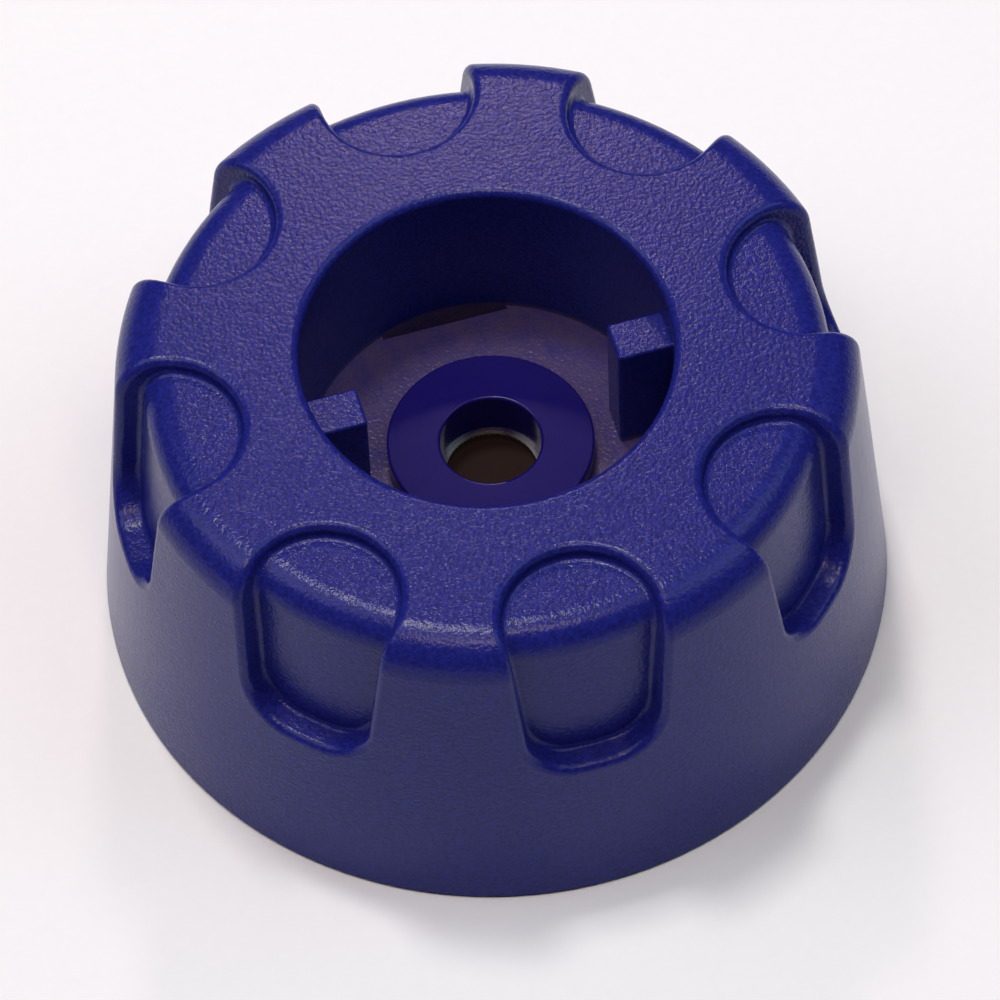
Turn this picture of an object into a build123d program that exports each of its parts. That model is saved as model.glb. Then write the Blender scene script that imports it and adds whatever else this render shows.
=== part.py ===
"""Grip cap of a pipette filler, with its valve, its filter and the bayonet ring that it turns on.

Millimetres, +Z up. The origin is the centre of the foot, on the surface that the part stands on.
The finger recesses lie every 45 degrees from +X, the socket's keys on +X and -X, its slots on +Y and -Y.
"""
from build123d import *
from math import cos, radians, sin, tan
import os

# ---- driving dimensions -------------------------------------------------------------------------
FOOT_R = 22.0                    # outer radius of the skirt at its foot
HEIGHT = 21.5                    # top face above the surface
SKIRT_GAP = 0.25                 # the turning skirt clears the surface by this much
SIDE_TOP_R = 20.1                # where the tapered side would meet the top face
SHOULDER_R = 2.5                 # rounding between the two
EDGE_R = 0.45                    # small moulded edge

# finger recesses in the cap
RECESSES = 8
RECESS_SIDE_DEPTH = 1.5
RECESS_TOP_DEPTH = 0.9
RECESS_SHOULDER_R = 1.8
RECESS_HALF_WIDTH = 4.3          # at the top face
RECESS_ARCH_U = 18.1             # centre of the round arch, from the axis
RECESS_LEDGE_Z = 10.9
RECESS_DRAFT = 4.5               # degrees, narrower towards the ledge
RECESS_CORNER_R = 2.7
RECESS_FOOT_R = 0.3

# socket in the top face
SOCKET_R = 10.2
SOCKET_WALL = 2.1
SOCKET_FLOOR_Z = 10.8
FLOOR_THICK = 2.0
KEY_WIDTH = 2.4
KEY_TIP_R = 7.1                  # distance of a key's face from the axis
KEY_TOP_Z = 18.9
KEY_EDGE_R = 0.2
SLOT_CHORD = 9.3                 # distance of a slot's straight edge from the axis
SLOT_LENGTH = 7.2

# shell
TOP_THICK = 2.0
CAVITY_R = 16.9                  # inner wall behind the recesses
FOOT_BORE_R = 20.2               # inner wall at the foot, round the base ring
FOOT_BORE_TOP_Z = 8.0
RIB_THICK = 1.2

# guide bush and the seat ring in it
BUSH_FLANGE_R = 5.75
BUSH_TOP_Z = 12.4
BUSH_SHANK_R = 5.0
BUSH_SHANK_Z = 8.2
BUSH_HOLE_R = 2.8
BUSH_EDGE_R = 0.15
BUSH_GROOVE_R = 4.2
BUSH_SEAL_Z = 9.9
BUSH_SEAL_WIRE_R = 0.4
SEAT_R = 4.25
SEAT_BORE_R = 2.6
SEAT_THICK = 0.5
SEAT_BOTTOM_Z = 8.7

# valve
DISC_R = 3.9
DISC_THICK = 1.1
VALVE_TRAVEL = 1.0
CAGE_BORE_R = 4.3
CAGE_R = 5.1
CAGE_BOTTOM_Z = 4.2
CAGE_FLOOR = 0.7
SPRING_R = 2.3
SPRING_WIRE_R = 0.175
SPRING_TURNS = 3.0

# filter chamber and the stack in it, from the floor's underside down
CHAMBER_R = 8.2
CHAMBER_OUTER_R = 9.2
CHAMBER_BOTTOM_Z = 0.8
STACK_R = 8.1
STACK_BORE_R = 7.0
PLATE_THICK = 0.8
GASKET_THICK = 0.4
MEMBRANE_THICK = 0.2
SCREEN_THICK = 0.6
COVER_THICK = 0.9
COVER_BOTTOM_Z = 1.8
COVER_SEAL_WIRE_R = 0.35
PORT_BOSS_R = 4.0
PORT_R = 2.0
PORT_BOTTOM_Z = 0.4
PORT_SEAL_Z = 1.3
SEAL_WIRE_R = 0.5
CIRCLIP_THICK = 0.5
CIRCLIP_BORE_R = 7.3
CIRCLIP_R = 8.55
CIRCLIP_GAP = 50.0               # degrees
CIRCLIP_EAR_R = 0.95
GROOVE_R = 8.65

# bayonet base ring
FLANGE_R = 19.9
FLANGE_BORE_R = 12.6
FLANGE_THICK = 1.8
RING_WALL_R = 18.4
RING_WALL_BORE_R = 17.0
RING_TOP_Z = 7.1
RING_LUG_R = 19.8
RING_LUG_Z = 5.4
LUGS = 3
LUG_ANGLE = 50.0
LUG_START = 90.0                 # middle of the first lug
STOP_NEAR = 26.0                 # stop rib, degrees before the middle of each lug
STOP_FAR = 34.0
CAP_LUG_R = 18.7
CAP_LUG_LOW_Z = 3.4
CAP_LUG_HIGH_Z = 5.0
GLIDE_R = 19.6
GLIDE_BORE_R = 17.2
GLIDE_THICK = 0.5
SCREW_CIRCLE_R = 14.8
SCREW_HOLE_R = 1.3
SCREW_SINK_R = 2.0
SCREWS = 3
FACE_SEAL_R = 18.3               # cord ring in the flange's underside

# ---- sizes that follow --------------------------------------------------------------------------
SOCKET_OUTER_R = SOCKET_R + SOCKET_WALL
FLOOR_UNDER_Z = SOCKET_FLOOR_Z - FLOOR_THICK
COVER_TOP_Z = COVER_BOTTOM_Z + COVER_THICK
SCREEN_TOP_Z = COVER_TOP_Z + SCREEN_THICK
MEMBRANE_TOP_Z = SCREEN_TOP_Z + MEMBRANE_THICK
GASKET_TOP_Z = MEMBRANE_TOP_Z + GASKET_THICK
PLATE_BOTTOM_Z = FLOOR_UNDER_Z - PLATE_THICK
DISC_BOTTOM_Z = SEAT_BOTTOM_Z - DISC_THICK
SPRING_LOW_Z = CAGE_BOTTOM_Z + CAGE_FLOOR
COVER_SEAL_R = CHAMBER_R - COVER_SEAL_WIRE_R
COVER_SEAL_Z = COVER_TOP_Z - COVER_SEAL_WIRE_R


# ---- helpers ------------------------------------------------------------------------------------
def ring(outer, inner, low, high):
    """A plain ring, or a disc when inner is 0."""
    face = Circle(outer) - Circle(inner) if inner else Circle(outer)
    return Pos(0, 0, low) * extrude(face, high - low)


def sector(outer, inner, low, high, start, sweep):
    """A stretch of a ring, from the angle start and sweep degrees long."""
    section = Polyline((inner, low), (outer, low), (outer, high), (inner, high), close=True)
    return Rot(0, 0, start) * revolve(Plane.XZ * make_face(section), Axis.Z, sweep)


def turned(*points):
    """A solid turned round +Z from the corners of its half section."""
    return revolve(Plane.XZ * make_face(Polyline(*points, close=True)), Axis.Z)


def around(solid, count, start=0.0):
    """The solid, count times round the axis."""
    return [Rot(0, 0, start + 360.0 / count * k) * solid for k in range(count)]


def between(faces_a, faces_b):
    """The edges where two groups of faces meet."""
    edges_b = [edge for face in faces_b for edge in face.edges()]
    return [edge for face in faces_a for edge in face.edges() if edge in edges_b]


def split_by_surface(solid, body):
    """The solid's faces that lie on the body's surface, and its other faces."""
    skin = body.shells()[0]
    on_skin = [face for face in solid.faces() if skin.distance_to(face.position_at(0.5, 0.5)) < 1e-3]
    return on_skin, [face for face in solid.faces() if face not in on_skin]


def domed(foot_r, side_top_r, top_z, shoulder_r):
    """The tapered, round-shouldered body that the cap and the floors of its recesses follow."""
    corners = Polyline((0, SKIRT_GAP), (foot_r, SKIRT_GAP), (side_top_r, top_z), (0, top_z), close=True)
    face = make_face(corners)
    face = fillet(face.vertices().sort_by_distance((side_top_r, top_z, 0))[0], shoulder_r)
    return revolve(Plane.XZ * face, Axis.Z)


# ---- grip cap -----------------------------------------------------------------------------------
def recess():
    """What one finger recess takes away, on +X."""
    drop = HEIGHT - RECESS_LEDGE_Z
    half_width = RECESS_HALF_WIDTH - drop * tan(radians(RECESS_DRAFT))
    reach = FOOT_R + 3 - RECESS_ARCH_U
    arch = Circle(half_width)
    straight = Pos(reach / 2, 0) * Rectangle(reach, 2 * half_width)
    plan = Pos(RECESS_ARCH_U, 0, RECESS_LEDGE_Z) * (arch + straight)
    prism = extrude(plan, drop + 2, taper=-RECESS_DRAFT)
    ledge = prism.faces().sort_by(Axis.Z)[0]
    outer_end = ledge.edges().sort_by(Axis.X)[-1]
    prism = fillet([edge for edge in ledge.edges() if edge != outer_end], RECESS_CORNER_R)
    core = domed(
        FOOT_R - RECESS_SIDE_DEPTH,
        SIDE_TOP_R - RECESS_SIDE_DEPTH,
        HEIGHT - RECESS_TOP_DEPTH,
        RECESS_SHOULDER_R,
    )
    plug = prism - core
    floor, walls = split_by_surface(plug, core)
    return fillet(between(floor, walls), RECESS_FOOT_R)


def outer_body():
    """The outside of the cap: taper, shoulder, recesses and their small edges."""
    blank = domed(FOOT_R, SIDE_TOP_R, HEIGHT, SHOULDER_R)
    body = blank - around(recess(), RECESSES)
    outside, walls = split_by_surface(body, blank)
    return fillet(between(outside, walls), EDGE_R)


def inner_space():
    """Everything inside the cap that is open: socket, filter chamber and the hollow of the skirt."""
    groove_z = COVER_BOTTOM_Z - CIRCLIP_THICK
    under_top = HEIGHT - TOP_THICK
    mouth_r = SOCKET_R + EDGE_R
    mouth = CenterArc((mouth_r, HEIGHT - EDGE_R), EDGE_R, 180, -90)
    above = Polyline(mouth @ 1, (mouth_r, HEIGHT + 1), (0, HEIGHT + 1), (0, -1))
    below = Polyline(
        (0, -1),
        (FOOT_BORE_R, -1),
        (FOOT_BORE_R, FOOT_BORE_TOP_Z),
        (CAVITY_R, FOOT_BORE_TOP_Z),
        (CAVITY_R, under_top),
        (SOCKET_OUTER_R, under_top),
        (SOCKET_OUTER_R, FLOOR_UNDER_Z),
        (CHAMBER_OUTER_R, FLOOR_UNDER_Z),
        (CHAMBER_OUTER_R, CHAMBER_BOTTOM_Z),
        (CHAMBER_R, CHAMBER_BOTTOM_Z),
        (CHAMBER_R, groove_z),
        (GROOVE_R, groove_z),
        (GROOVE_R, COVER_BOTTOM_Z),
        (CHAMBER_R, COVER_BOTTOM_Z),
        (CHAMBER_R, FLOOR_UNDER_Z),
        (BUSH_SHANK_R, FLOOR_UNDER_Z),
        (BUSH_SHANK_R, SOCKET_FLOOR_Z),
        (SOCKET_R, SOCKET_FLOOR_Z),
        mouth @ 0,
    )
    return revolve(Plane.XZ * make_face([mouth, above, below]), Axis.Z)


def socket_key():
    """One key on the socket's wall, on +X."""
    depth = SOCKET_R + SOCKET_WALL / 2 - KEY_TIP_R
    height = KEY_TOP_Z - SOCKET_FLOOR_Z + 1
    key = Box(depth, KEY_WIDTH, height, align=(Align.MIN, Align.CENTER, Align.MAX))
    tip = key.edges().filter_by(Axis.Z).sort_by(Axis.X)[:2]
    top = key.faces().sort_by(Axis.Z)[-1].edges().sort_by(Axis.X)[:3]
    return Pos(KEY_TIP_R, 0, KEY_TOP_Z) * fillet(tip + top, KEY_EDGE_R)


def floor_slot():
    """A window in the socket's floor on +X, straight inside and round along the wall."""
    depth = SOCKET_R - SLOT_CHORD
    window = Pos(SLOT_CHORD + depth / 2, 0) * Rectangle(depth, SLOT_LENGTH) & Circle(SOCKET_R)
    return Pos(0, 0, FLOOR_UNDER_Z - 0.5) * extrude(window, FLOOR_THICK + 1)


def shell_rib():
    """Joins the socket's wall to the skirt's, under the top face."""
    length = CAVITY_R - SOCKET_OUTER_R + 1
    height = HEIGHT - TOP_THICK - FLOOR_UNDER_Z + 0.5
    rib = Box(length, RIB_THICK, height, align=(Align.MIN, Align.CENTER, Align.MIN))
    return Pos(SOCKET_OUTER_R - 0.5, 0, FLOOR_UNDER_Z) * rib


def bayonet_lug():
    """One of the cap's lugs, which passes under a lug of the base ring."""
    start = LUG_START - LUG_ANGLE / 2
    return sector(FOOT_BORE_R + 0.5, CAP_LUG_R, CAP_LUG_LOW_Z, CAP_LUG_HIGH_Z, start, LUG_ANGLE)


def grip_cap():
    space = inner_space() - around(socket_key(), 2)
    space -= around(shell_rib(), RECESSES, 180.0 / RECESSES)
    space -= around(bayonet_lug(), LUGS)
    space += around(floor_slot(), 2, 90)
    return outer_body() - space


# ---- guide bush, seat and valve -----------------------------------------------------------------
def guide_bush():
    bush = turned(
        (BUSH_HOLE_R, BUSH_TOP_Z),
        (BUSH_FLANGE_R, BUSH_TOP_Z),
        (BUSH_FLANGE_R, SOCKET_FLOOR_Z),
        (BUSH_SHANK_R, SOCKET_FLOOR_Z),
        (BUSH_SHANK_R, BUSH_SEAL_Z + BUSH_SEAL_WIRE_R),
        (BUSH_GROOVE_R, BUSH_SEAL_Z + BUSH_SEAL_WIRE_R),
        (BUSH_GROOVE_R, BUSH_SEAL_Z - BUSH_SEAL_WIRE_R),
        (BUSH_SHANK_R, BUSH_SEAL_Z - BUSH_SEAL_WIRE_R),
        (BUSH_SHANK_R, BUSH_SHANK_Z),
        (SEAT_R, BUSH_SHANK_Z),
        (SEAT_R, SEAT_BOTTOM_Z + SEAT_THICK),
        (BUSH_HOLE_R, SEAT_BOTTOM_Z + SEAT_THICK),
    )
    return fillet(bush.faces().sort_by(Axis.Z)[-1].edges(), BUSH_EDGE_R)


def bush_seal():
    return Pos(0, 0, BUSH_SEAL_Z) * Torus(BUSH_GROOVE_R + BUSH_SEAL_WIRE_R, BUSH_SEAL_WIRE_R)


def seat_ring():
    return ring(SEAT_R, SEAT_BORE_R, SEAT_BOTTOM_Z, SEAT_BOTTOM_Z + SEAT_THICK)


def valve_disc():
    """A flat rubber disc with a pilot for the spring."""
    pilot_z = DISC_BOTTOM_Z - 0.6
    return turned(
        (0, pilot_z),
        (SPRING_R - SPRING_WIRE_R - 0.2, pilot_z),
        (SPRING_R - SPRING_WIRE_R - 0.2, DISC_BOTTOM_Z),
        (DISC_R, DISC_BOTTOM_Z),
        (DISC_R, SEAT_BOTTOM_Z),
        (0, SEAT_BOTTOM_Z),
    )


def valve_spring():
    low = SPRING_LOW_Z + SPRING_WIRE_R
    high = DISC_BOTTOM_Z - SPRING_WIRE_R
    path = Pos(0, 0, low) * Helix((high - low) / SPRING_TURNS, high - low, SPRING_R)
    section = Plane(origin=path @ 0, z_dir=path % 0) * Circle(SPRING_WIRE_R)
    return sweep(section, path, is_frenet=True)


def valve_cage():
    """A plate that the filter stack clamps, with an open cup under it that guides disc and spring."""
    cage = ring(STACK_R, BUSH_SHANK_R + 0.05, BUSH_SHANK_Z, FLOOR_UNDER_Z)
    cage += ring(STACK_R, CAGE_BORE_R, PLATE_BOTTOM_Z, BUSH_SHANK_Z)
    cage += ring(CAGE_R, CAGE_BORE_R, CAGE_BOTTOM_Z, PLATE_BOTTOM_Z)
    cage += ring(CAGE_R, 0, CAGE_BOTTOM_Z, SPRING_LOW_Z)
    window_height = DISC_BOTTOM_Z - VALVE_TRAVEL - SPRING_LOW_Z
    window = Pos(CAGE_R, 0, SPRING_LOW_Z + window_height / 2) * Box(3, 2.6, window_height)
    cage -= around(window, 4, 45)
    cage -= around(Pos(2.9, 0, CAGE_BOTTOM_Z - 1) * extrude(Circle(0.8), 3), 4)
    return cage


# ---- filter stack -------------------------------------------------------------------------------
def spacer_ring():
    return ring(STACK_R, STACK_BORE_R, GASKET_TOP_Z, PLATE_BOTTOM_Z)


def filter_gasket():
    return ring(STACK_R, STACK_BORE_R, MEMBRANE_TOP_Z, GASKET_TOP_Z)


def filter_membrane():
    return ring(STACK_R, 0, SCREEN_TOP_Z, MEMBRANE_TOP_Z)


def filter_screen():
    """Support for the membrane: rings of small holes."""
    screen = ring(STACK_R, 0, COVER_TOP_Z, SCREEN_TOP_Z)
    for circle_r, holes in ((1.6, 5), (3.2, 10), (4.8, 15), (6.4, 20)):
        hole = Pos(circle_r, 0, COVER_TOP_Z - 1) * extrude(Circle(0.5), SCREEN_THICK + 2)
        screen -= around(hole, holes)
    return screen


def chamber_cover():
    """Closes the chamber. The filler's air nozzle plugs into the boss, through a seal in a groove."""
    cover = ring(STACK_R, 0, COVER_BOTTOM_Z, COVER_TOP_Z)
    cover += ring(PORT_BOSS_R, 0, PORT_BOTTOM_Z, COVER_BOTTOM_Z)
    cover -= ring(PORT_R, 0, PORT_BOTTOM_Z - 1, COVER_TOP_Z - 0.4)
    cover -= ring(1.2, 0, 0, COVER_TOP_Z + 1)
    cover -= ring(PORT_R + 2 * SEAL_WIRE_R, 0, PORT_SEAL_Z - SEAL_WIRE_R, PORT_SEAL_Z + SEAL_WIRE_R)
    rebate_r = COVER_SEAL_R - COVER_SEAL_WIRE_R
    return cover - ring(STACK_R + 1, rebate_r, COVER_TOP_Z - 2 * COVER_SEAL_WIRE_R, COVER_TOP_Z + 1)


def port_seal():
    return Pos(0, 0, PORT_SEAL_Z) * Torus(PORT_R + SEAL_WIRE_R, SEAL_WIRE_R)


def cover_seal():
    return Pos(0, 0, COVER_SEAL_Z) * Torus(COVER_SEAL_R, COVER_SEAL_WIRE_R)


def cover_circlip():
    """Internal circlip with two ears for the pliers, open on -Y."""
    low = COVER_BOTTOM_Z - CIRCLIP_THICK
    start = 270 + CIRCLIP_GAP / 2
    clip = sector(CIRCLIP_R, CIRCLIP_BORE_R, low, COVER_BOTTOM_Z, start, 360 - CIRCLIP_GAP)
    for side in (1, -1):
        angle = radians(270 + side * (CIRCLIP_GAP / 2 + 3))
        place = Pos(CIRCLIP_BORE_R * cos(angle), CIRCLIP_BORE_R * sin(angle), low)
        clip += place * extrude(Circle(CIRCLIP_EAR_R), CIRCLIP_THICK)
        clip -= place * extrude(Circle(CIRCLIP_EAR_R / 2), CIRCLIP_THICK)
    return clip


# ---- bayonet base ring --------------------------------------------------------------------------
def base_ring():
    """Screwed to the filler. Its lugs hold the cap's lugs from above, its ribs stop them."""
    base = ring(FLANGE_R, FLANGE_BORE_R, 0, FLANGE_THICK)
    base += ring(RING_WALL_R, RING_WALL_BORE_R, FLANGE_THICK, RING_TOP_Z)
    lug_from = LUG_START - LUG_ANGLE / 2
    lug = sector(RING_LUG_R, RING_WALL_R - 0.5, RING_LUG_Z, RING_TOP_Z, lug_from, LUG_ANGLE)
    stop_from = LUG_START - STOP_FAR
    stop_angle = STOP_FAR - STOP_NEAR
    stop = sector(RING_LUG_R, RING_WALL_R - 0.5, FLANGE_THICK - 0.5, RING_TOP_Z, stop_from, stop_angle)
    base += around(lug, LUGS) + around(stop, LUGS)
    hole = extrude(Circle(SCREW_HOLE_R), FLANGE_THICK)
    sink = Pos(0, 0, FLANGE_THICK - 0.7) * Cone(
        SCREW_HOLE_R, SCREW_SINK_R, 0.7, align=(Align.CENTER, Align.CENTER, Align.MIN)
    )
    base -= around(Pos(SCREW_CIRCLE_R, 0, 0) * (hole + sink), SCREWS, LUG_START)
    groove_half = SEAL_WIRE_R + 0.1
    groove_depth = 2 * SEAL_WIRE_R
    return base - ring(FACE_SEAL_R + groove_half, FACE_SEAL_R - groove_half, -1, groove_depth)


def face_seal():
    return Pos(0, 0, SEAL_WIRE_R) * Torus(FACE_SEAL_R, SEAL_WIRE_R)


def glide_ring():
    return ring(GLIDE_R, GLIDE_BORE_R, RING_TOP_Z, RING_TOP_Z + GLIDE_THICK)


PIECES = (
    grip_cap,
    guide_bush,
    bush_seal,
    seat_ring,
    valve_disc,
    valve_spring,
    valve_cage,
    spacer_ring,
    filter_gasket,
    filter_membrane,
    filter_screen,
    chamber_cover,
    cover_seal,
    port_seal,
    cover_circlip,
    base_ring,
    face_seal,
    glide_ring,
)

os.makedirs("parts", exist_ok=True)
for piece in PIECES:
    export_step(piece(), "parts/" + piece.__name__ + ".step")
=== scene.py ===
"""Finish of a pipette filler's grip cap: moulded shell, guide bush, valve, filter and bayonet ring.

Laid out as a Blender add-on. The frame holds every piece's shape and place. Each operator gives one
piece, or one group of like pieces, its material, and the last one sets the stage. Only the valve's
spring is added here, as a copy of the frame's spring with its own mesh, tied to the cap.
"""
import math

import bpy
from bpy.props import FloatProperty, FloatVectorProperty, PointerProperty
from mathutils import Matrix, Vector


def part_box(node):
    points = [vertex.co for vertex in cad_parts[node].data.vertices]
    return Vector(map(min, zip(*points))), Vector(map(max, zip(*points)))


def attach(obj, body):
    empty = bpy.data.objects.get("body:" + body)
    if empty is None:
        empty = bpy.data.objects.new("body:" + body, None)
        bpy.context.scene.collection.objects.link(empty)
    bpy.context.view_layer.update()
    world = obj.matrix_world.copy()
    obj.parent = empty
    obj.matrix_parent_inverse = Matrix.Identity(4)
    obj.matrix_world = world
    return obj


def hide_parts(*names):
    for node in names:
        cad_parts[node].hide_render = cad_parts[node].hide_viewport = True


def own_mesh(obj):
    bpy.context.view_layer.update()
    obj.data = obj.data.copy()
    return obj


bl_info = {
    "name": "Pipette filler grip cap",
    "version": (1, 0, 0),
    "blender": (4, 5, 0),
    "location": "View3D > Sidebar > Grip cap",
    "description": "Finishes the pieces of a pipette filler's grip cap and sets its stage",
    "category": "Object",
}

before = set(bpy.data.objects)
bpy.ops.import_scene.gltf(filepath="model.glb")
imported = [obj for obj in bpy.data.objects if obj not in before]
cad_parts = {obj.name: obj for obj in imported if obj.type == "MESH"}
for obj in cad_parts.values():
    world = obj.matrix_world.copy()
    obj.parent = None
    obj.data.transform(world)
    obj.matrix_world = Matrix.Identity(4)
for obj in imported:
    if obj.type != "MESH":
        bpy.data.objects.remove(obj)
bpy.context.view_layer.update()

MM = 0.001
FOOT_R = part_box("grip_cap")[1].x
TOP_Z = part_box("grip_cap")[1].z
BUSH_RISE = 1.6 * MM  # the guide bush stands this far above the socket's floor
SOCKET_FLOOR_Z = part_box("guide_bush")[1].z - BUSH_RISE


# ---- colours, nodes and slots -------------------------------------------------------------------
def linear(hex_colour):
    """Turns an sRGB hex colour, such as "#3b4a90", to linear red, green and blue."""
    channels = [int(hex_colour[i : i + 2], 16) / 255 for i in (1, 3, 5)]
    return [c / 12.92 if c <= 0.04045 else ((c + 0.055) / 1.055) ** 2.4 for c in channels]


def shade(colour, share):
    """A colour with its light multiplied by share, with alpha, as a shader socket takes it."""
    return (*[c * share for c in colour], 1.0)


def add_node(tree, kind, settings=None, values=None, links=None):
    """Adds a node with its settings, its inputs' values and the outputs linked to its inputs."""
    node = tree.nodes.new(kind)
    for name, value in (settings or {}).items():
        setattr(node, name, value)
    for name, value in (values or {}).items():
        node.inputs[name].default_value = value
    for name, output in (links or {}).items():
        tree.links.new(output, node.inputs[name])
    return node


def new_material(name):
    """An empty material: its node tree, and the position on the piece that patterns start from."""
    material = bpy.data.materials.new(name)
    material.use_nodes = True
    tree = material.node_tree
    tree.nodes.clear()
    return material, tree, add_node(tree, "ShaderNodeTexCoord").outputs["Object"]


def close_material(material, tree, shader):
    """Joins the shader to the material's output, and hands the material back."""
    add_node(tree, "ShaderNodeOutputMaterial", links={"Surface": shader.outputs["BSDF"]})
    return material


def give(material, *names):
    """Puts a material on these pieces of the frame."""
    for name in names:
        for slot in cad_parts[name].material_slots:
            slot.material = material


def wave_scale(pitch):
    """Scale of a wave texture whose lines are this far apart: they repeat every 2 pi / (20 * scale)."""
    return 2 * math.pi / (20 * pitch)


# ---- materials ----------------------------------------------------------------------------------
def spark_eroded_abs(look):
    """ABS moulded in a spark-eroded cavity: a matt, pebbled skin that breaks light into sparks.

    On the socket's floor a grey-violet sheen is painted into the colour, in patches set by noise.
    """
    material, tree, place = new_material("abs_spark_eroded")
    patch_size = 1.5 * MM
    fade = 0.1 * MM
    grain = add_node(
        tree,
        "ShaderNodeTexNoise",
        values={"Scale": 1 / look.grain, "Detail": 2.0, "Roughness": 0.55},
        links={"Vector": place},
    )
    tint = add_node(tree, "ShaderNodeValToRGB", links={"Fac": grain.outputs["Fac"]})
    tint.color_ramp.elements[0].position = 0.35
    tint.color_ramp.elements[0].color = shade(look.shell_colour, 0.75)
    tint.color_ramp.elements[1].position = 0.65
    tint.color_ramp.elements[1].color = shade(look.shell_colour, 1.2)
    axes = add_node(tree, "ShaderNodeSeparateXYZ", links={"Vector": place})
    # Painted sheen: on the socket's floor, inside the socket's radius, a grey-violet highlight colour is
    # mixed in where the noise is high.
    on_floor = add_node(
        tree,
        "ShaderNodeMapRange",
        values={"From Min": SOCKET_FLOOR_Z + 4 * fade, "From Max": SOCKET_FLOOR_Z + fade},
        links={"Value": axes.outputs["Z"]},
    )
    around_axis = add_node(
        tree,
        "ShaderNodeCombineXYZ",
        links={"X": axes.outputs["X"], "Y": axes.outputs["Y"]},
    )
    radius = add_node(
        tree,
        "ShaderNodeVectorMath",
        {"operation": "LENGTH"},
        links={0: around_axis.outputs["Vector"]},
    )
    in_socket = add_node(
        tree,
        "ShaderNodeMapRange",
        values={"From Min": look.socket_r + fade, "From Max": look.socket_r},
        links={"Value": radius.outputs["Value"]},
    )
    sheened = add_node(
        tree,
        "ShaderNodeMath",
        {"operation": "MULTIPLY"},
        links={0: on_floor.outputs["Result"], 1: in_socket.outputs["Result"]},
    )
    patches = add_node(
        tree,
        "ShaderNodeTexNoise",
        values={"Scale": 1 / patch_size, "Detail": 5.0, "Roughness": 0.7},
        links={"Vector": place},
    )
    painted_sheen = add_node(
        tree,
        "ShaderNodeMath",
        {"operation": "MULTIPLY", "use_clamp": True},
        links={0: sheened.outputs[0], 1: patches.outputs["Fac"]},
    )
    # Mixes the painted grey-violet sheen into the pigment on the socket's floor.
    colour = add_node(
        tree,
        "ShaderNodeMix",
        {"data_type": "RGBA"},
        {"B": (*look.floor_sheen_colour, 1.0)},
        {"Factor": painted_sheen.outputs[0], "A": tint.outputs["Color"]},
    )
    bump = add_node(
        tree,
        "ShaderNodeBump",
        values={"Strength": 1.0, "Distance": look.grain_depth},
        links={"Height": grain.outputs["Fac"]},
    )
    shader = add_node(
        tree,
        "ShaderNodeBsdfPrincipled",
        values={"Roughness": look.shell_roughness, "IOR": 1.54, "Specular IOR Level": 0.16},
        links={"Base Color": colour.outputs["Result"], "Normal": bump.outputs["Normal"]},
    )
    return close_material(material, tree, shader)


def moulded_abs(look):
    """ABS moulded in a fine-ground cavity: satin, with a faint swirl where the melt flowed."""
    material, tree, place = new_material("abs_moulded_satin")
    swirl_size = 3.0 * MM
    grit_size = 0.15 * MM
    flow = add_node(
        tree,
        "ShaderNodeTexNoise",
        values={"Scale": 1 / swirl_size, "Detail": 3.0, "Distortion": 1.5},
        links={"Vector": place},
    )
    gloss = add_node(
        tree,
        "ShaderNodeMapRange",
        values={"To Min": 0.3, "To Max": 0.42},
        links={"Value": flow.outputs["Fac"]},
    )
    tint = add_node(tree, "ShaderNodeValToRGB", links={"Fac": flow.outputs["Fac"]})
    tint.color_ramp.elements[0].color = shade(look.ring_colour, 0.85)
    tint.color_ramp.elements[1].color = shade(look.ring_colour, 1.1)
    grit = add_node(
        tree,
        "ShaderNodeTexNoise",
        values={"Scale": 1 / grit_size, "Detail": 2.0},
        links={"Vector": place},
    )
    bump = add_node(
        tree,
        "ShaderNodeBump",
        values={"Strength": 0.4, "Distance": 0.01 * MM},
        links={"Height": grit.outputs["Fac"]},
    )
    shader = add_node(
        tree,
        "ShaderNodeBsdfPrincipled",
        values={"IOR": 1.54},
        links={
            "Base Color": tint.outputs["Color"],
            "Roughness": gloss.outputs["Result"],
            "Normal": bump.outputs["Normal"],
        },
    )
    return close_material(material, tree, shader)


def turned_acetal(name, colour, roughness):
    """Acetal turned on a lathe: waxy, with faint rings from the tool round the axis."""
    material, tree, place = new_material(name)
    feed = 0.15 * MM
    cloud_size = 1.2 * MM
    rings = add_node(
        tree,
        "ShaderNodeTexWave",
        {"wave_type": "RINGS", "rings_direction": "Z"},
        {"Scale": wave_scale(feed), "Distortion": 0.3, "Detail": 1.0},
        {"Vector": place},
    )
    cloud = add_node(
        tree,
        "ShaderNodeTexNoise",
        values={"Scale": 1 / cloud_size, "Detail": 2.0},
        links={"Vector": place},
    )
    tint = add_node(tree, "ShaderNodeValToRGB", links={"Fac": cloud.outputs["Fac"]})
    tint.color_ramp.elements[0].color = shade(colour, 0.85)
    tint.color_ramp.elements[1].color = shade(colour, 1.1)
    bump = add_node(
        tree,
        "ShaderNodeBump",
        values={"Strength": 0.3, "Distance": 0.004 * MM},
        links={"Height": rings.outputs["Fac"]},
    )
    shader = add_node(
        tree,
        "ShaderNodeBsdfPrincipled",
        values={"Roughness": roughness, "IOR": 1.48, "Specular IOR Level": 0.2},
        links={"Base Color": tint.outputs["Color"], "Normal": bump.outputs["Normal"]},
    )
    return close_material(material, tree, shader)


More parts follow.
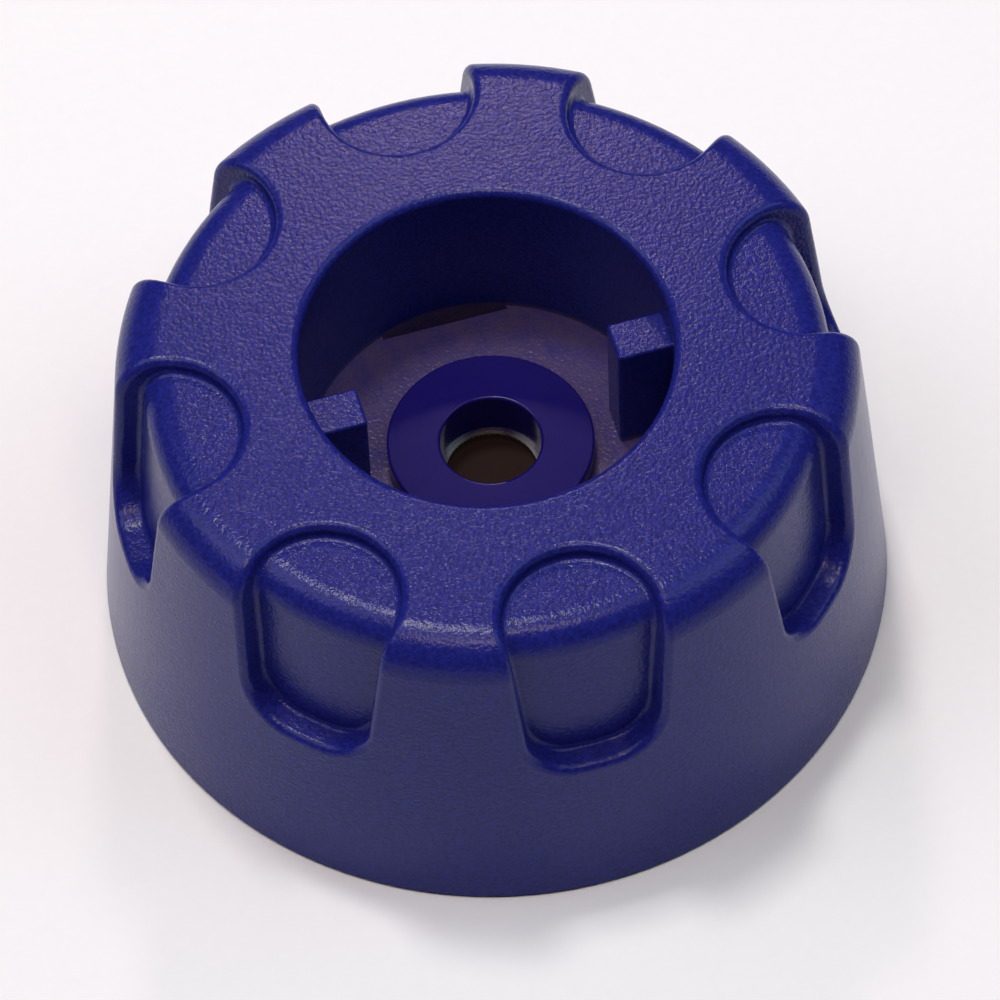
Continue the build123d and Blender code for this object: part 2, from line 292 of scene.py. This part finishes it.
def turned_stainless_steel(look):
    """Stainless steel turned and polished: bright, with a ring-shaped sheen round the axis."""
    material, tree, place = new_material("stainless_steel_turned")
    feed = 0.06 * MM
    rings = add_node(
        tree,
        "ShaderNodeTexWave",
        {"wave_type": "RINGS", "rings_direction": "Z"},
        {"Scale": wave_scale(feed), "Distortion": 0.5, "Detail": 2.0},
        {"Vector": place},
    )
    gloss = add_node(
        tree,
        "ShaderNodeMapRange",
        values={"To Min": 0.18, "To Max": 0.32},
        links={"Value": rings.outputs["Fac"]},
    )
    bump = add_node(
        tree,
        "ShaderNodeBump",
        values={"Strength": 0.3, "Distance": 0.002 * MM},
        links={"Height": rings.outputs["Fac"]},
    )
    shader = add_node(
        tree,
        "ShaderNodeBsdfPrincipled",
        values={"Base Color": shade(look.steel_colour, 1.0), "Metallic": 1.0},
        links={"Roughness": gloss.outputs["Result"], "Normal": bump.outputs["Normal"]},
    )
    return close_material(material, tree, shader)


def drawn_spring_steel(look):
    """Stainless spring steel, drawn or stamped and then tumbled: grey, with short dull scuff marks."""
    material, tree, place = new_material("spring_steel_tumbled")
    patch_size = 0.25 * MM
    patches = add_node(
        tree,
        "ShaderNodeTexNoise",
        values={"Scale": 1 / patch_size, "Detail": 4.0, "Distortion": 0.8},
        links={"Vector": place},
    )
    gloss = add_node(
        tree,
        "ShaderNodeMapRange",
        values={"To Min": 0.25, "To Max": 0.5},
        links={"Value": patches.outputs["Fac"]},
    )
    tint = add_node(tree, "ShaderNodeValToRGB", links={"Fac": patches.outputs["Fac"]})
    tint.color_ramp.elements[0].color = shade(look.steel_colour, 0.75)
    tint.color_ramp.elements[1].color = shade(look.steel_colour, 1.0)
    bump = add_node(
        tree,
        "ShaderNodeBump",
        values={"Strength": 0.3, "Distance": 0.004 * MM},
        links={"Height": patches.outputs["Fac"]},
    )
    shader = add_node(
        tree,
        "ShaderNodeBsdfPrincipled",
        values={"Metallic": 1.0},
        links={
            "Base Color": tint.outputs["Color"],
            "Roughness": gloss.outputs["Result"],
            "Normal": bump.outputs["Normal"],
        },
    )
    return close_material(material, tree, shader)


def moulded_rubber(name, colour, roughness):
    """Rubber pressed in a steel mould: dull, very slightly mottled, with a fine pebbled skin."""
    material, tree, place = new_material(name)
    mottle_size = 0.6 * MM
    pebble_size = 0.12 * MM
    mottle = add_node(
        tree,
        "ShaderNodeTexNoise",
        values={"Scale": 1 / mottle_size, "Detail": 4.0, "Roughness": 0.6},
        links={"Vector": place},
    )
    tint = add_node(tree, "ShaderNodeValToRGB", links={"Fac": mottle.outputs["Fac"]})
    tint.color_ramp.elements[0].color = shade(colour, 0.7)
    tint.color_ramp.elements[1].color = shade(colour, 1.25)
    skin = add_node(
        tree,
        "ShaderNodeTexNoise",
        values={"Scale": 1 / pebble_size, "Detail": 2.0},
        links={"Vector": place},
    )
    bump = add_node(
        tree,
        "ShaderNodeBump",
        values={"Strength": 0.4, "Distance": 0.01 * MM},
        links={"Height": skin.outputs["Fac"]},
    )
    shader = add_node(
        tree,
        "ShaderNodeBsdfPrincipled",
        values={"Roughness": roughness, "IOR": 1.52, "Specular IOR Level": 0.2},
        links={"Base Color": tint.outputs["Color"], "Normal": bump.outputs["Normal"]},
    )
    return close_material(material, tree, shader)


def moulded_milky_polymer(name, colour, milkiness):
    """Polypropylene or silicone, moulded: satin, milky where it has no pigment, with faint flow marks."""
    material, tree, place = new_material(name)
    flow_size = 2.0 * MM
    light_reach = 0.5 * MM  # how far light travels inside before it comes out again
    flow = add_node(
        tree,
        "ShaderNodeTexNoise",
        values={"Scale": 1 / flow_size, "Detail": 3.0, "Distortion": 1.0},
        links={"Vector": place},
    )
    tint = add_node(tree, "ShaderNodeValToRGB", links={"Fac": flow.outputs["Fac"]})
    tint.color_ramp.elements[0].color = shade(colour, 0.88)
    tint.color_ramp.elements[1].color = shade(colour, 1.0)
    gloss = add_node(
        tree,
        "ShaderNodeMapRange",
        values={"To Min": 0.35, "To Max": 0.5},
        links={"Value": flow.outputs["Fac"]},
    )
    shader = add_node(
        tree,
        "ShaderNodeBsdfPrincipled",
        values={
            "IOR": 1.49,
            "Subsurface Weight": milkiness,
            "Subsurface Radius": (1.0, 1.0, 1.0),
            "Subsurface Scale": light_reach,
        },
        links={"Base Color": tint.outputs["Color"], "Roughness": gloss.outputs["Result"]},
    )
    return close_material(material, tree, shader)


def stretched_ptfe(look):
    """Expanded PTFE on a web of fibres: dead white and matt, with a felt-like nap."""
    material, tree, place = new_material("ptfe_stretched")
    mesh_size = 0.3 * MM
    fibres = add_node(
        tree,
        "ShaderNodeTexVoronoi",
        {"feature": "DISTANCE_TO_EDGE"},
        {"Scale": 1 / mesh_size},
        {"Vector": place},
    )
    tint = add_node(tree, "ShaderNodeValToRGB", links={"Fac": fibres.outputs["Distance"]})
    tint.color_ramp.elements[0].color = shade(look.membrane_colour, 0.9)
    tint.color_ramp.elements[1].position = 0.2
    tint.color_ramp.elements[1].color = shade(look.membrane_colour, 1.0)
    bump = add_node(
        tree,
        "ShaderNodeBump",
        values={"Strength": 0.5, "Distance": 0.02 * MM},
        links={"Height": fibres.outputs["Distance"]},
    )
    shader = add_node(
        tree,
        "ShaderNodeBsdfPrincipled",
        values={"Roughness": 0.85, "IOR": 1.35},
        links={"Base Color": tint.outputs["Color"], "Normal": bump.outputs["Normal"]},
    )
    return close_material(material, tree, shader)


def matt_card(stage):
    """Pressed card with a fine tooth: pale, matt and free of glare."""
    material, tree, place = new_material("card_pressed_matt")
    tooth_size = 0.8 * MM
    tooth = add_node(
        tree,
        "ShaderNodeTexNoise",
        values={"Scale": 1 / tooth_size, "Detail": 2.0},
        links={"Vector": place},
    )
    tint = add_node(tree, "ShaderNodeValToRGB", links={"Fac": tooth.outputs["Fac"]})
    tint.color_ramp.elements[0].color = shade(stage.floor_colour, 0.97)
    tint.color_ramp.elements[1].color = shade(stage.floor_colour, 1.0)
    shader = add_node(
        tree,
        "ShaderNodeBsdfPrincipled",
        values={"Roughness": 0.8},
        links={"Base Color": tint.outputs["Color"]},
    )
    return close_material(material, tree, shader)


# ---- settings -----------------------------------------------------------------------------------
class GripCapLook(bpy.types.PropertyGroup):
    shell_colour: FloatVectorProperty(
        name="Shell colour",
        description="Pigment of the grip cap",
        default=linear("#1c2172"),
        subtype="COLOR",
        min=0,
        max=1,
    )
    shell_roughness: FloatProperty(
        name="Shell roughness",
        description="Gloss of the skin between the grains",
        default=0.22,
        min=0,
        max=1,
        subtype="FACTOR",
    )
    grain: FloatProperty(
        name="Grain",
        description="Size of one grain of the spark-eroded texture",
        default=0.22 * MM,
        precision=6,
        unit="LENGTH",
    )
    grain_depth: FloatProperty(
        name="Grain depth",
        description="Height of the grains",
        default=0.035 * MM,
        precision=6,
        unit="LENGTH",
    )
    # Colour of the painted sheen on the socket's floor: a grey-violet highlight painted into the pigment.
    floor_sheen_colour: FloatVectorProperty(
        name="Scuff colour",
        description="Worn plastic on the socket's floor",
        default=linear("#564858"),
        subtype="COLOR",
        min=0,
        max=1,
    )
    # The painted sheen on the socket's floor lies inside this radius.
    socket_r: FloatProperty(
        name="Socket radius",
        description="The floor is worn inside this distance from the axis",
        default=10.2 * MM,
        precision=6,
        unit="LENGTH",
    )
    ring_colour: FloatVectorProperty(
        name="Ring colour",
        description="Pigment of the bayonet ring",
        default=linear("#231f86"),
        subtype="COLOR",
        min=0,
        max=1,
    )
    bush_colour: FloatVectorProperty(
        name="Bush colour",
        description="Pigment of the guide bush",
        default=linear("#150f58"),
        subtype="COLOR",
        min=0,
        max=1,
    )
    glide_colour: FloatVectorProperty(
        name="Glide ring colour",
        description="Natural acetal of the glide ring",
        default=linear("#e6e6df"),
        subtype="COLOR",
        min=0,
        max=1,
    )
    steel_colour: FloatVectorProperty(
        name="Steel colour",
        description="Reflection of the stainless steel",
        default=linear("#a8a4a0"),
        subtype="COLOR",
        min=0,
        max=1,
    )
    valve_colour: FloatVectorProperty(
        name="Valve colour",
        description="Brown rubber of the valve disc",
        default=linear("#1c0a06"),
        subtype="COLOR",
        min=0,
        max=1,
    )
    valve_travel: FloatProperty(
        name="Valve travel",
        description="How far the disc moves down on its spring",
        default=1.0 * MM,
        precision=6,
        unit="LENGTH",
    )
    seal_colour: FloatVectorProperty(
        name="Seal colour",
        description="Black rubber of the O-rings",
        default=linear("#1c1c1e"),
        subtype="COLOR",
        min=0,
        max=1,
    )
    gasket_colour: FloatVectorProperty(
        name="Gasket colour",
        description="Clear silicone of the filter's gasket",
        default=linear("#dddbd2"),
        subtype="COLOR",
        min=0,
        max=1,
    )
    natural_colour: FloatVectorProperty(
        name="Natural plastic",
        description="Unpigmented polypropylene of the cage, spacer and screen",
        default=linear("#e3e6e2"),
        subtype="COLOR",
        min=0,
        max=1,
    )
    cover_colour: FloatVectorProperty(
        name="Cover colour",
        description="Grey polypropylene of the chamber's cover",
        default=linear("#8f959c"),
        subtype="COLOR",
        min=0,
        max=1,
    )
    membrane_colour: FloatVectorProperty(
        name="Membrane colour",
        description="White of the filter membrane",
        default=linear("#f4f4f0"),
        subtype="COLOR",
        min=0,
        max=1,
    )


class GripCapStage(bpy.types.PropertyGroup):
    azimuth: FloatProperty(
        name="Camera azimuth",
        description="Angle round the part from -Y, positive to the right",
        default=math.radians(-13.885),
        subtype="ANGLE",
    )
    elevation: FloatProperty(
        name="Camera elevation",
        description="Angle of the camera above the table",
        default=math.radians(56.44),
        subtype="ANGLE",
    )
    roll: FloatProperty(
        name="Camera roll",
        description="Turn of the camera about its own axis",
        default=math.radians(2.66),
        subtype="ANGLE",
    )
    distance: FloatProperty(
        name="Camera distance",
        description="From the camera to the point that it looks at",
        default=451.4 * MM,
        unit="LENGTH",
    )
    lens: FloatProperty(
        name="Lens",
        description="Focal length for a sensor 36 mm wide",
        default=288.0,
        unit="CAMERA",
    )
    floor_colour: FloatVectorProperty(
        name="Floor colour",
        description="Card under the part",
        default=linear("#edf3f5"),
        subtype="COLOR",
        min=0,
        max=1,
    )
    room_light: FloatProperty(
        name="Room light",
        description="Strength of the even light from all round",
        default=0.03,
        min=0,
    )
    side_power: FloatProperty(
        name="Side lights",
        description="Power of the left panel; the right one has three quarters of it",
        default=1.3,
        unit="POWER",
    )
    overhead_power: FloatProperty(
        name="Overhead light",
        description="Power of the broad cool panel above",
        default=0.6,
        unit="POWER",
    )
    key_power: FloatProperty(
        name="Key light",
        description="Power of the small panel behind, which casts the short shadow",
        default=2.5,
        unit="POWER",
    )
    front_power: FloatProperty(
        name="Front light",
        description="Power of the warm panel that shows along the front shoulder",
        default=0.8,
        unit="POWER",
    )
    rear_power: FloatProperty(
        name="Rear light",
        description="Power of the near, small panel that makes the grain at the back sparkle",
        default=0.065,
        unit="POWER",
    )


# ---- pieces -------------------------------------------------------------------------------------
def add_object(name, data):
    """Puts new data in the scene as an object."""
    thing = bpy.data.objects.new(name, data)
    bpy.context.scene.collection.objects.link(thing)
    return thing


def add_spring(steel):
    """The valve's spring as a piece of its own: a copy of the frame's spring with its own mesh, tied to the
    cap.
    """
    spring = add_object("valve_spring_coil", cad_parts["valve_spring"].data.copy())
    spring.data.materials.clear()
    spring.data.materials.append(steel)
    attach(spring, "cap")
    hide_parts("valve_spring")
    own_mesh(spring)


class GRIPCAP_OT_shell(bpy.types.Operator):
    """Finish the moulded grip cap"""

    bl_idname = "grip_cap.shell"
    bl_label = "Shell"

    def execute(self, context):
        give(spark_eroded_abs(context.scene.grip_cap_look), "grip_cap")
        return {"FINISHED"}


class GRIPCAP_OT_bayonet(bpy.types.Operator):
    """Finish the bayonet ring and the ring that the cap glides on"""

    bl_idname = "grip_cap.bayonet"
    bl_label = "Bayonet ring"

    def execute(self, context):
        look = context.scene.grip_cap_look
        give(moulded_abs(look), "base_ring")
        give(turned_acetal("acetal_turned_natural", look.glide_colour, 0.4), "glide_ring")
        return {"FINISHED"}


class GRIPCAP_OT_bush(bpy.types.Operator):
    """Finish the guide bush and the steel seat in it"""

    bl_idname = "grip_cap.bush"
    bl_label = "Bush and seat"

    def execute(self, context):
        look = context.scene.grip_cap_look
        give(turned_acetal("acetal_turned_blue", look.bush_colour, 0.16), "guide_bush")
        give(turned_stainless_steel(look), "seat_ring")
        return {"FINISHED"}


class GRIPCAP_OT_valve(bpy.types.Operator):
    """Finish the valve's disc and spring, and the circlip of the same steel"""

    bl_idname = "grip_cap.valve"
    bl_label = "Valve"

    def execute(self, context):
        look = context.scene.grip_cap_look
        give(moulded_rubber("fluoroelastomer_moulded_brown", look.valve_colour, 0.75), "valve_disc")
        steel = drawn_spring_steel(look)
        give(steel, "cover_circlip")
        add_spring(steel)
        return {"FINISHED"}


class GRIPCAP_OT_filter(bpy.types.Operator):
    """Finish the valve's cage, the filter stack and the cover that closes it"""

    bl_idname = "grip_cap.filter"
    bl_label = "Filter"

    def execute(self, context):
        look = context.scene.grip_cap_look
        natural = moulded_milky_polymer("polypropylene_moulded_natural", look.natural_colour, 0.5)
        give(natural, "valve_cage", "spacer_ring", "filter_screen")
        give(moulded_milky_polymer("silicone_moulded_clear", look.gasket_colour, 0.8), "filter_gasket")
        give(stretched_ptfe(look), "filter_membrane")
        give(moulded_milky_polymer("polypropylene_moulded_grey", look.cover_colour, 0.0), "chamber_cover")
        return {"FINISHED"}


class GRIPCAP_OT_seals(bpy.types.Operator):
    """Finish the black O-rings"""

    bl_idname = "grip_cap.seals"
    bl_label = "Seals"

    def execute(self, context):
        rubber = moulded_rubber("nitrile_rubber_moulded_black", context.scene.grip_cap_look.seal_colour, 0.5)
        give(rubber, "bush_seal", "cover_seal", "port_seal", "face_seal")
        return {"FINISHED"}


# ---- stage --------------------------------------------------------------------------------------
def add_floor(stage):
    """A card 3 m square, which fills the view."""
    half = 1.5
    corners = [(-half, -half, 0), (half, -half, 0), (half, half, 0), (-half, half, 0)]
    mesh = bpy.data.meshes.new("floor")
    mesh.from_pydata(corners, [], [(0, 1, 2, 3)])
    mesh.materials.append(matt_card(stage))
    add_object("floor", mesh)


def towards(angle, out, rise):
    """A direction that leans out by that much at an angle round the part from -Y, and rises."""
    return Vector((math.sin(angle) * out, -math.cos(angle) * out, rise))


def add_camera(stage):
    """Looks a little past the foot's centre, which lands below and left of the frame's middle."""
    past_right = 0.009 * FOOT_R
    past_up = 0.161 * FOOT_R
    lens = bpy.data.cameras.new("camera")
    lens.lens = stage.lens
    lens.sensor_width = 36.0
    lens.clip_start = 0.01
    lens.clip_end = 20.0
    turn, lift, roll = stage.azimuth, stage.elevation, stage.roll
    back = towards(turn, math.cos(lift), math.sin(lift))
    level = Vector((math.cos(turn), math.sin(turn), 0))
    rise = back.cross(level)
    right = level * math.cos(roll) - rise * math.sin(roll)
    up = level * math.sin(roll) + rise * math.cos(roll)
    pose = Matrix((right, up, back)).transposed().to_4x4()
    pose.translation = back * stage.distance + past_right * right + past_up * up
    camera = add_object("camera", lens)
    camera.matrix_world = pose
    bpy.context.scene.camera = camera


def add_panel(name, stage, tilt, turn, distance, size, power, colour):
    """A light panel aimed at the part's middle.

    Tilt is from the vertical and turn is round the part from the camera's side, both in degrees.
    """
    panel = bpy.data.lights.new(name, "AREA")
    panel.shape = "RECTANGLE"
    panel.size, panel.size_y = size
    panel.energy = power
    panel.color = linear(colour)
    lamp = add_object(name, panel)
    lean = math.radians(tilt)
    aim = towards(stage.azimuth + math.radians(turn), math.sin(lean), math.cos(lean))
    lamp.location = aim * distance + Vector((0, 0, TOP_Z / 2))
    lamp.rotation_mode = "QUATERNION"
    lamp.rotation_quaternion = aim.to_track_quat("Z", "Y")


def add_room(stage):
    """Even, faint light from all round."""
    world = bpy.data.worlds.new("room")
    world.use_nodes = True
    background = world.node_tree.nodes["Background"]
    background.inputs["Color"].default_value = (*linear("#c8ccd8"), 1.0)
    background.inputs["Strength"].default_value = stage.room_light
    bpy.context.scene.world = world


class GRIPCAP_OT_stage(bpy.types.Operator):
    """Set the floor, the camera, the light panels and the room"""

    bl_idname = "grip_cap.stage"
    bl_label = "Stage"

    def execute(self, context):
        stage = context.scene.grip_cap_stage
        add_floor(stage)
        add_camera(stage)
        add_room(stage)
        # tilt and turn in degrees, distance and size in metres, power in watts
        add_panel("left", stage, 35, 270, 0.70, (0.40, 0.40), stage.side_power, "#fbf6ff")
        add_panel("right", stage, 35, 90, 0.70, (0.40, 0.40), 0.75 * stage.side_power, "#dff4ff")
        add_panel("overhead", stage, 2, 0, 0.75, (0.60, 0.60), stage.overhead_power, "#d6dcff")
        add_panel("key", stage, 15, 203, 0.80, (0.12, 0.12), stage.key_power, "#fff6f0")
        add_panel("front", stage, 18, 0, 0.50, (0.20, 0.10), stage.front_power, "#ffe0d0")
        add_panel("rear", stage, 43, 181, 0.20, (0.02, 0.02), stage.rear_power, "#ffe0e0")
        context.scene.view_settings.view_transform = "Standard"
        return {"FINISHED"}


# ---- panel and registration ---------------------------------------------------------------------
OPERATORS = (
    GRIPCAP_OT_shell,
    GRIPCAP_OT_bayonet,
    GRIPCAP_OT_bush,
    GRIPCAP_OT_valve,
    GRIPCAP_OT_filter,
    GRIPCAP_OT_seals,
    GRIPCAP_OT_stage,
)


class GRIPCAP_PT_sidebar(bpy.types.Panel):
    """Lists the settings and the operators"""

    bl_label = "Grip cap"
    bl_idname = "GRIPCAP_PT_sidebar"
    bl_space_type = "VIEW_3D"
    bl_region_type = "UI"
    bl_category = "Grip cap"

    def draw(self, context):
        for group in (context.scene.grip_cap_look, context.scene.grip_cap_stage):
            box = self.layout.box()
            for name in group.__annotations__:
                box.prop(group, name)
        for operator in OPERATORS:
            self.layout.operator(operator.bl_idname)


CLASSES = (GripCapLook, GripCapStage, *OPERATORS, GRIPCAP_PT_sidebar)


def register():
    for cls in CLASSES:
        bpy.utils.register_class(cls)
    bpy.types.Scene.grip_cap_look = PointerProperty(type=GripCapLook)
    bpy.types.Scene.grip_cap_stage = PointerProperty(type=GripCapStage)


def unregister():
    del bpy.types.Scene.grip_cap_stage
    del bpy.types.Scene.grip_cap_look
    for cls in reversed(CLASSES):
        bpy.utils.unregister_class(cls)


def main():
    register()
    bpy.ops.grip_cap.shell()
    bpy.ops.grip_cap.bayonet()
    bpy.ops.grip_cap.bush()
    bpy.ops.grip_cap.valve()
    bpy.ops.grip_cap.filter()
    bpy.ops.grip_cap.seals()
    bpy.ops.grip_cap.stage()


if __name__ == "__main__":
    main()
